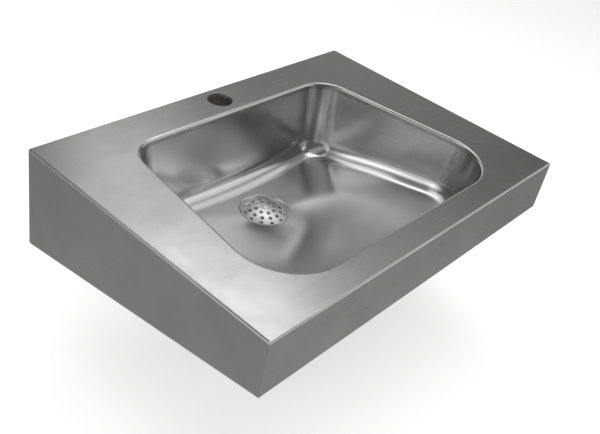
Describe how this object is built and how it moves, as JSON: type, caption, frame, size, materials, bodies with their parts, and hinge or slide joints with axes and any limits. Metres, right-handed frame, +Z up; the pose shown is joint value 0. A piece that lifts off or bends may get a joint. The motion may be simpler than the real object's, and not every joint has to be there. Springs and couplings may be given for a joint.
{
  "type": "wall hung hand wash sink",
  "caption": "Wall-hung stainless steel hand wash sink: brushed deck with a tap hole, tapered bowl, sloping side panels and a waste fitting with a domed strainer.",
  "frame": {"origin": "middle of the four wall fixing holes, on the plane of the wall, half way down the back of the sink", "axes": "+X runs along the wall to the right of a person facing the wall, +Y points into the wall, +Z is up"},
  "size_m": [0.6, 0.42, 0.189],
  "materials": {
    "brushed_sheet": "brushed satin stainless steel",
    "bowl_steel": "semi-polished stainless steel",
    "mill_steel": "dull mill finish stainless steel",
    "polished_steel": "polished stainless steel",
    "zinc_steel": "bright zinc plate",
    "brass": "turned brass",
    "rubber": "matt black rubber",
    "nylon": "natural nylon",
    "sound_pad": "dark grey damping pad"
  },
  "bodies": {
    "sink": {"deck_panel": "brushed_sheet", "left_side_panel": "brushed_sheet", "right_side_panel": "brushed_sheet", "bowl": "bowl_steel", "tap_hole_stiffener": "mill_steel", "left_wall_bracket": "mill_steel", "right_wall_bracket": "mill_steel", "sound_pad_front": "sound_pad", "sound_pad_left": "sound_pad", "sound_pad_right": "sound_pad", "waste_flange": "polished_steel", "waste_top_seal": "rubber", "waste_under_washer": "rubber", "waste_slip_washer": "nylon", "waste_backnut": "brass", "earth_tag": "mill_steel", "earth_screw": "zinc_steel", "earth_nut": "zinc_steel"},
    "strainer": {"strainer_dome": "polished_steel"},
    "strainer_screw": {"strainer_screw": "polished_steel"}
  },
  "joints": [
    {"name": "strainer_lift", "type": "slide", "parent": "sink", "child": "strainer", "axis": [0, 0, 1], "range_m": [0, 0.16]},
    {"name": "strainer_screw_turn", "type": "hinge", "parent": "strainer", "child": "strainer_screw", "pos_m": [0, -0.149, -0.0462], "axis": [0, 0, 1], "continuous": true}
  ]
}
